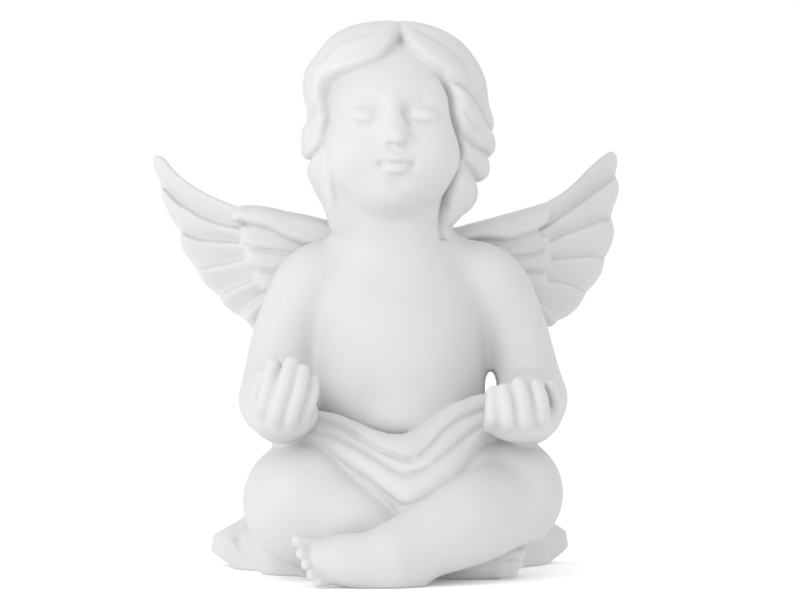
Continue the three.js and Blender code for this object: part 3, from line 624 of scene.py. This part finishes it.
sheet_x = (5, 15, 25, 35, 43.5)
sheet_y = (10, 13.2, 16.6, 20.9, 24.4)
sheet_lean = 0.92
feather_tilt = 1.8
wing_drawings = {
    1: {
        "lines": [
            [
                (24, 66.1), (28.3, 67.3), (30.6, 68.3), (33, 69.7), (35.3, 71.5), (37.6, 73.7),
                (39.7, 75.6), (41.5, 77),
            ],
            [
                (26, 61.6), (30.1, 63.5), (32.7, 65.2), (35.6, 67.2), (38.5, 69.2), (41.5, 71.3),
                (43.6, 72.7),
            ],
            [(26, 59), (30.9, 60.6), (32.7, 61.5), (35, 62.3), (37.9, 63.4), (40.6, 64.4), (42.7, 64.8)],
            [(26, 56.3), (31.2, 57), (34.1, 57.3), (37.1, 57.6), (39.4, 57.6), (41.3, 57.1)],
            [(25, 52.8), (29.9, 52.9), (31.2, 52.9), (33.5, 52.5), (35.6, 51.8), (37.6, 50.7)],
            [(24, 50.8), (29.3, 48.3), (30.1, 47.5), (30.9, 46.7), (31.6, 45.5)],
            [(22, 48), (26, 46), (29, 44.4)],
        ],
        "tips": [
            [(42.7, 77.6), (43.5, 77.3), (44, 76.3), (44, 74.9), (43.7, 73.1)],
            [(44.2, 71.6), (44.3, 70.3), (44, 68.7), (43.3, 66.9), (42.8, 65.1)],
            [(43.2, 63.5), (43.4, 62.1), (43.1, 60.5), (42.3, 58.6), (41.5, 57.3)],
            [(41.2, 56.2), (40.9, 54.8), (40, 53.2), (38.8, 51.8), (37.7, 50.8)],
            [(37.2, 50), (36.2, 48.3), (34.7, 46.9), (33.3, 46), (31.8, 45.4)],
            [(31.4, 44.9), (30.5, 44.3)],
        ],
        "roll": [
            (5, 61.3), (11.1, 62.7), (14.2, 63.5), (17.8, 64.4), (21.2, 65.3), (24.6, 66.2), (28.3, 67.3),
            (29.9, 67.6), (30, 66), (29.6, 64.5), (28.9, 63.6), (26.9, 62.3), (24.6, 61.4), (22.6, 60.7),
            (20.6, 60.3), (17.8, 60.5), (14.4, 60.2), (5, 57.5),
        ],
        "coverts": [
            [
                (5, 62.5), (20, 63), (27, 63), (28.3, 61.9), (29.3, 62), (30.1, 60.9), (29.9, 60),
                (29.3, 59.2), (28, 58.3), (26, 57.6), (16, 56.5), (5, 56.5),
            ],
            [
                (5, 57.5), (16, 57.5), (26, 58), (28.8, 59.3), (29.6, 59.2), (30.4, 58.2), (30.6, 57),
                (30.2, 56.1), (29.2, 55.1), (28, 54.6), (25.4, 54.4), (16, 53), (5, 53),
            ],
            [
                (5, 54), (16, 54), (25.4, 54.8), (28.4, 55), (29.3, 54.9), (29.8, 53.9), (29.8, 52.9),
                (29.3, 51.9), (28.5, 51.3), (27.3, 51), (18, 49.5), (5, 49),
            ],
        ],
    },
    -1: {
        "lines": [
            [
                (25, 65.4), (29.3, 67), (31.2, 67.8), (33.4, 68.8), (35.3, 69.8), (37.2, 71.1),
                (39.2, 72.7), (40.8, 74.5), (41.9, 75.9),
            ],
            [
                (25, 62), (28.7, 62.8), (30.9, 63.2), (33.1, 63.9), (35.3, 64.9), (37.2, 66.1),
                (39.2, 67.3), (40.8, 68.9), (42.3, 70.4),
            ],
            [
                (24, 59.6), (28.5, 60), (31.2, 60.2), (33.9, 60.4), (35.8, 60.7), (37.5, 61.3),
                (38.8, 62.1),
            ],
            [(23, 57.3), (27.4, 56.9), (29.6, 56.4), (31.7, 55.9), (33.9, 55.5), (35.7, 55.1)],
            [(22, 54), (25.9, 52.9), (27.1, 52.5), (28.7, 51.8), (30.4, 50.9), (31.7, 50.1)],
            [(21, 51.6), (23.3, 50.4), (24.4, 49.5), (25.5, 48.7), (26.6, 47.6), (27.4, 46.3)],
            [(19, 48), (22, 46), (25, 44)],
        ],
        "tips": [
            [(42.9, 76.4), (43.6, 76.2), (43.9, 75.4), (43.7, 74.3), (43.2, 72.9), (42.5, 71.3)],
            [(42.4, 69.9), (42.2, 68.4), (41.6, 66.9), (40.7, 65), (39.7, 63.4), (38.9, 62.3)],
            [(38.9, 61.3), (38.8, 59.9), (38.2, 58.5), (37.2, 56.8), (35.9, 55.2)],
            [(35.3, 53.9), (34.5, 52.6), (33.1, 51.2), (31.8, 50.2)],
            [(31.3, 49.1), (30.4, 48), (29, 47), (27.6, 46.2)],
            [(26.8, 45.4), (25.9, 44.3)],
        ],
        "roll": [
            (5, 62.2), (10.7, 63.6), (13.5, 64.4), (16.2, 65.1), (18.9, 65.6), (21.7, 66.3), (24.4, 66.8),
            (26, 66.9), (28.2, 66.8), (29.4, 66), (29.7, 64.9), (29.3, 63.9), (27.6, 63.7), (25.5, 63.1),
            (23, 62.4), (20.3, 60.9), (17.6, 59.7), (15.3, 58.9), (5, 55.8),
        ],
        "coverts": [
            [
                (5, 62.5), (16, 62.5), (25, 63.8), (27.8, 63.4), (28.3, 62.1), (28.4, 61.3), (28.3, 60.1),
                (27.9, 59.4), (27.1, 59.1), (25.5, 58.5), (23.8, 58.4), (14, 57), (5, 57),
            ],
            [
                (5, 58), (14, 58), (23.8, 58.8), (26.6, 59.3), (27.3, 58.8), (27.4, 57.8), (27.4, 56.8),
                (26.8, 55.8), (26, 55.2), (24.4, 54.6), (22.7, 54.4), (14, 53), (5, 53),
            ],
            [
                (5, 54), (14, 54), (22.7, 54.9), (25, 55.2), (25.6, 54.3), (25.7, 53.4), (25.4, 52.5),
                (24.7, 51.6), (23.2, 50.7), (14, 49.5), (5, 49),
            ],
        ],
    },
}


def plate(outline, side, thick, edge, ahead=0.0, tilt=None):
    """A plate with rounded edges on the wing's sheet, from its outline, half thickness and edge width. It
    is tilted forward along the first of two lines, and back along the second, if they are given."""
    shape = np.array(outline, float)
    (x_low, z_low), (x_high, z_high) = shape.min(0), shape.max(0)
    y_low, y_high = np.interp((x_low, x_high), sheet_x, sheet_y)
    low, high = (x_low, y_low - thick - 1, z_low), (x_high, y_high + thick + 1, z_high)
    if side < 0:
        low, high = (-high[0], *low[1:]), (-low[0], *high[1:])

    def distance(x, y, z):
        off = from_outline(shape, side * x, z)
        brink = np.maximum(1 + off / edge, 0)
        sheet = np.interp(side * x, sheet_x, sheet_y)
        deep = (y - sheet + ahead) * sheet_lean
        if tilt:
            to_first, to_second = (from_outline(line, side * x, z, closed=False) for line in tilt)
            deep = deep + feather_tilt * (to_second / (to_first + to_second + 1e-3) - 0.5)
        inside = np.sqrt(brink**2 + (deep / thick) ** 2)
        slope = np.sqrt((brink / edge) ** 2 + (deep / thick**2) ** 2)
        return (inside * (inside - 1) / np.maximum(slope, 1e-4)).astype(np.float32)

    return low, high, distance


def curve(line):
    return [tuple(p) for p in smoothed(line, 4).tolist()]


for side, drawing in wing_drawings.items():
    lines = [curve(line) for line in drawing["lines"]]
    tips = [curve(tip) for tip in drawing["tips"]]
    web = [(5, 61), *lines[0], *[p for tip in tips for p in tip], *reversed(lines[-1]), (5, 50)]
    lay_on(plate(web, side, 0.75, 0.8), 0.3)
    for upper, tip, lower in zip(lines, tips, lines[1:]):
        lay_on(plate([*upper, *tip, *reversed(lower)], side, 1.3, 1.15, tilt=(upper, lower)), 0.15)
    for outline in drawing["coverts"]:
        lay_on(plate(curve(outline), side, 2.1, 1.4, ahead=0.3), 0.2)
    roll = drawing["roll"]
    roll_top, roll_foot = roll[:8], roll[10:]
    lay_on(plate(curve(roll), side, 3, 1.6, ahead=2, tilt=(roll_foot, roll_top)), 0.25)

# The cloth is laid over the lap from hip to hip: a rolled rim at the waist, two long folds under it and a
# flap to the right, down to a point where the legs cross. Its edges and furrows are lines of points.

lap_facing = (0, -0.72, 0.69)
rim_edge = [
    (-18.5, -8.5, 29.6), (-13.7, -12.3, 29), (-8.7, -15.3, 27.1), (-6, -16.5, 26), (-3.3, -17, 25.6),
    (-0.6, -16.6, 25.5), (2.1, -15.4, 26.1), (4.6, -14.4, 27.4), (7.4, -13, 29.6), (11.1, -10.7, 31.6),
    (15.5, -8, 32.4),
]
first_furrow = [
    (-18.5, -10, 27.8), (-12.5, -13.3, 27.3), (-8.7, -15.8, 25.2), (-4.3, -19.3, 22.6), (0, -20.4, 21.4),
    (3, -19.2, 23), (6.2, -16.2, 26.2), (10.2, -13.3, 28.6), (15.5, -10.4, 30.2),
]
second_furrow = [
    (-18.5, -12, 26.2), (-14.5, -14.9, 25.6), (-9.9, -17, 23.7), (-5.9, -19.6, 21.4), (-2.6, -22.2, 19.5),
    (1.3, -22.9, 19.4), (4.5, -20.9, 21.4), (8.6, -17.2, 24.2), (12.4, -14.2, 26.6), (16, -12, 27.4),
]
hem_edge = [
    (-18.5, -12.6, 25.2), (-14.7, -15, 24.1), (-11.6, -17.8, 22.4), (-7.1, -21.3, 19.9),
    (-3.3, -24.4, 16.8), (-0.8, -25.6, 14.9), (2.2, -24.3, 16.4), (5.9, -21.8, 18.3), (9, -18.7, 21.3),
    (12.3, -15.2, 24.5), (16, -12.8, 25.6),
]
flap_edge = [
    (5.9, -21.4, 18.2), (8.3, -20.1, 19), (10.6, -18.6, 19.7), (13, -16.8, 20.9), (15.5, -14.7, 21.2),
    (18.2, -12.6, 21.6),
]


def between(upper, lower, deep, sink=0.0):
    """Stations of a fold that fills the strip between two lines."""
    t = np.linspace(0, 1, 13)
    rows = []
    for line in (upper, lower):
        line = smoothed(line, 4)
        run = np.insert(np.cumsum(np.linalg.norm(np.diff(line, axis=0), axis=1)), 0, 0)
        rows.append(np.stack([np.interp(t * run[-1], run, line[:, k]) for k in range(3)], 1))
    middle = (rows[0] + rows[1]) / 2 - sink * np.array(lap_facing)
    half = np.linalg.norm(rows[0] - rows[1], axis=1) / 2
    return [(*m, h * 1.12 + 0.3, deep) for m, h in zip(middle.tolist(), half.tolist())]


folds = [
    (rim_edge, first_furrow, 1.7, 0.5),
    (first_furrow, second_furrow, 1.5, 0.6),
    (second_furrow, hem_edge, 1.9, 0.9),
]
flap = (hem_edge[6:], flap_edge, 1.3, 0.9)
bed_deep, bed_sink = 3, 3.4
for upper, lower, *_ in folds:
    lay_on(drawn(between(upper, lower, bed_deep, bed_sink), lap_facing, steps=1), 1.2)
for upper, lower, deep, sink in [*folds, flap]:
    lay_on(drawn(between(upper, lower, deep, sink), lap_facing, steps=1), 0.35)
lap_bed = [
    (-15, -7.5, 24.4, 6, 3.2), (-7, -10.5, 22.4, 6.4, 3.2), (-0.6, -11.5, 21.6, 6.6, 3.2),
    (6, -10, 24, 6, 3.2), (13, -6.5, 27.6, 5, 3.2),
]
lay_on(drawn(lap_bed, (0, -0.3, 0.95)), 1)
between_thighs = egg((-0.5, -13, 15), (11, 8.5, 6.5))
lay_on(between_thighs, 0.6)
for line, depth in [(first_furrow, 0.65), (second_furrow, 0.45)]:
    press(line, depth, 0.55, along_view, fade=0.2)
thin_crease = [
    (-9.4, -17.3, 23.9), (-6.9, -18.6, 22.7), (-4.8, -19.4, 21.3), (-2.8, -20.1, 20.6),
    (1.8, -21.2, 20.6),
]
press(thin_crease, 0.35, 0.5, along_view)

# The cloth falls from the hips at the sides and back, and spreads on the floor in a wavy hem with two
# drawn-out corners that lift off the floor. The hem's reach is given by its angle from +X, towards +Y.

hem_centre = (0, 4)
hem_reach = [
    (0, 22), (12, 26), (20, 31), (26, 37.4), (33, 33.5), (45, 30), (60, 29), (90, 25), (120, 29),
    (136, 31), (146, 33.5), (153.5, 38), (160, 32), (176, 27), (196, 24.4), (215, 21.5), (240, 14),
    (270, 8), (300, 14), (330, 18.5), (360, 22),
]
corner_bearings = (26, 153.5)
corner_width = 11
corner_lift = 0.12
corner_hollow = 0.34
waves = 13
skirt_top = 24.5
waist_height = 27.4
hips_half = (17, 14.6)
levels = [(0, 0.97), (1.6, 1), (4.4, 0.98), (6.4, 0.84), (8.4, 0.7), (12, 0.5), (17.5, 0.26), (23.7, 0)]
part, (x, y, z) = stretch((-39, -12, -2), (40, 34, 27))
px, py = x - hem_centre[0], y - hem_centre[1]
angle = np.mod(np.arctan2(py, px), 2 * math.pi)
degrees = np.degrees(angle)
reach = np.interp(degrees, *zip(*hem_reach))
waist = 1 / np.hypot(np.cos(angle) / hips_half[0], np.sin(angle) / hips_half[1])
distance_out = np.hypot(px, py)
corners = sum(np.exp(-(((degrees - bearing) / corner_width) ** 2)) for bearing in corner_bearings)
heights, spreads = zip(*levels)
lift = corners * np.maximum(distance_out - 26, 0) * corner_lift
spread = np.interp(z - lift, heights, spreads)
behind = np.interp(degrees, (30, 60, 120, 148), (0, 1, 1, 0))
ripple = behind * (0.3 + 1.2 * spread) * np.sin(waves * angle + 2 * spread)
ripple = ripple + (1 - behind) * 0.9 * spread * np.sin(degrees * 0.22 + 3 * spread)
radius = waist + (reach - waist) * spread + ripple
skirt = ((distance_out - radius) * 0.55).astype(np.float32)
skirt = np.maximum(skirt, z - skirt_top)
underside = corners * np.maximum(distance_out - 29, 0) * corner_hollow - 0.4
skirt = np.maximum(skirt, (underside - z) * 0.8)
joint = np.maximum(0.8 - np.abs(clay[part] - skirt), 0) / 0.8
clay[part] = np.minimum(clay[part], skirt) - joint**2 * 0.2
for drop, half, sag in [(0, 1.8, 2), (3.4, 1.9, 4)]:
    waist_roll = []
    for quarter in (-1.25, -0.9, -0.45, 0, 0.45, 0.9, 1.25):
        turn = math.pi / 2 * quarter
        height = waist_height - drop - sag * max(0, math.cos(turn))
        across, back = hips_half[0] * math.sin(turn), hem_centre[1] + hips_half[1] * math.cos(turn)
        waist_roll.append((across, back, height, half))
    lay_on(drawn(waist_roll, upward), 0.8)
left_fold = [
    (-28.6, 13, 9), (-29.2, 10.9, 6.4), (-28.9, 8.4, 4.6), (-28.3, 4.3, 2.9), (-27.3, -0.6, 1.6),
    (-25.4, -3.4, 0.9),
]
press(left_fold, 0.9, 0.7, along_view, fade=0.15)
right_fold = [(25.5, 0, 8.4), (24.5, 1.7, 6), (23.4, 0, 4.4), (21.4, -2, 2.8), (18.6, -4, 1)]
press(right_fold, 0.9, 0.7, along_view, fade=0.15)

# The model is cut flat where it stands, cast, and fettled smooth: what isn't joined to the crown, such as
# a bubble shut in between two lumps of clay, is left out. The porcelain is matt, with a fine tooth.

level = axes[2][None, None, :]
clay = np.maximum(clay, -level)
grid = openvdb.FloatGrid(1.0)
grid.copyFromArray(np.clip(clay / grain, -1, 1).astype(np.float64))
points, quads = grid.convertToQuads(isovalue=0.0)
points = (points * grain + np.array(bench_low)) * share + np.array([0, 0, lowest[2]])
mesh = bpy.data.meshes.new("figurine_cast")
mesh.from_pydata(points.tolist(), [], quads.tolist())
mesh.update()
figurine = bpy.data.objects.new("figurine_cast", mesh)
bpy.context.collection.objects.link(figurine)
print("cast:", len(points), "points", len(quads), "quads")

bpy.context.view_layer.objects.active = figurine
figurine.select_set(True)
most_triangles = 195000
ratio = most_triangles / (2 * len(quads))
if ratio < 1:
    thin = figurine.modifiers.new("thin", "DECIMATE")
    thin.ratio = ratio
    bpy.ops.object.modifier_apply(modifier="thin")
bpy.ops.object.mode_set(mode="EDIT")
bpy.ops.mesh.select_all(action="DESELECT")
bpy.ops.object.mode_set(mode="OBJECT")
crown = max(mesh.vertices, key=lambda vertex: vertex.co.z)
crown.select = True
bpy.ops.object.mode_set(mode="EDIT")
bpy.ops.mesh.select_linked()
bpy.ops.mesh.select_all(action="INVERT")
bpy.ops.mesh.delete(type="VERT")
bpy.ops.mesh.select_all(action="SELECT")
bpy.ops.mesh.normals_make_consistent(inside=False)
bpy.ops.object.mode_set(mode="OBJECT")
bpy.ops.object.shade_smooth()
figurine.select_set(False)

porcelain = bpy.data.materials.new("bisque_porcelain")
porcelain.use_nodes = True
nodes, links = porcelain.node_tree.nodes, porcelain.node_tree.links
shader = nodes["Principled BSDF"]
place = nodes.new("ShaderNodeTexCoord")
tone = nodes.new("ShaderNodeTexNoise")
tone.inputs["Scale"].default_value = 60
tone.inputs["Detail"].default_value = 3
links.new(place.outputs["Object"], tone.inputs["Vector"])
shade = nodes.new("ShaderNodeValToRGB")
shade.color_ramp.elements[0].position = 0.3
shade.color_ramp.elements[0].color = (0.56, 0.558, 0.556, 1)
shade.color_ramp.elements[1].position = 0.7
shade.color_ramp.elements[1].color = (0.59, 0.589, 0.588, 1)
links.new(tone.outputs["Fac"], shade.inputs["Fac"])
links.new(shade.outputs["Color"], shader.inputs["Base Color"])
grit = nodes.new("ShaderNodeTexNoise")
grit.inputs["Scale"].default_value = 2200
grit.inputs["Detail"].default_value = 2
links.new(place.outputs["Object"], grit.inputs["Vector"])
bump = nodes.new("ShaderNodeBump")
bump.inputs["Strength"].default_value = 0.12
bump.inputs["Distance"].default_value = 0.0001
links.new(grit.outputs["Fac"], bump.inputs["Height"])
links.new(bump.outputs["Normal"], shader.inputs["Normal"])
shader.inputs["Roughness"].default_value = 0.6
shader.inputs["Subsurface Weight"].default_value = 0.12
shader.inputs["Subsurface Radius"].default_value = (0.004, 0.0035, 0.003)
shader.inputs["Subsurface Scale"].default_value = 1
figurine.data.materials.append(porcelain)
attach(figurine, "root")
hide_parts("figurine")

# The floor is a wide pale sheet, as the photograph's white ground.

bpy.ops.mesh.primitive_plane_add(size=6)
floor = bpy.context.object
floor.name = "floor"
paper = bpy.data.materials.new("pale_paper_with_painted_glow")
paper.use_nodes = True
surface = paper.node_tree.nodes["Principled BSDF"]
surface.inputs["Base Color"].default_value = (1, 1, 1, 1)
surface.inputs["Roughness"].default_value = 1
surface.inputs["Specular IOR Level"].default_value = 0
# The floor also glows faintly, though it is no lamp. This is painted light: it lightens the shadows cast
# on the floor and lights the figure a little from below.
surface.inputs["Emission Color"].default_value = (1, 1, 1, 1)
surface.inputs["Emission Strength"].default_value = 0.1
floor.data.materials.append(paper)
floor.select_set(False)

# The light is a soft studio's: a large lamp to the viewer's left, weaker ones above and low in front, and
# a white room all round, shown in plain tones.

world = bpy.data.worlds.new("studio")
bpy.context.scene.world = world
world.use_nodes = True
room = world.node_tree.nodes["Background"]
room.inputs["Color"].default_value = (1, 1, 1, 1)
room.inputs["Strength"].default_value = 1
aim_height = 0.07
for name, energy, size, position in [
    ("key", 4.1, 0.6, (-0.95, -0.62, 0.42)),
    ("top", 0.5, 0.6, (0.1, -0.3, 1)),
    ("low", 1.5, 0.8, (-0.3, -0.95, 0.1)),
]:
    lamp = bpy.data.lights.new(name, "AREA")
    lamp.energy = energy
    lamp.size = size
    lamp_object = bpy.data.objects.new(name, lamp)
    bpy.context.collection.objects.link(lamp_object)
    lamp_object.location = position
    direction = -lamp_object.location.copy()
    direction.z += aim_height
    lamp_object.rotation_euler = direction.to_track_quat("-Z", "Y").to_euler()
bpy.context.scene.view_settings.view_transform = "Standard"

# The camera stands a little to the viewer's left of the figure, level with its middle.

camera = bpy.data.cameras.new("camera")
camera.lens = 142.02
camera.sensor_width = 36
camera_object = bpy.data.objects.new("camera", camera)
bpy.context.collection.objects.link(camera_object)
swing = math.radians(6)
distance = 0.8
camera_object.location = (-math.sin(swing) * distance, -math.cos(swing) * distance, 0.0691)
camera_object.rotation_euler = (math.pi / 2, 0, -swing)
bpy.context.scene.camera = camera_object
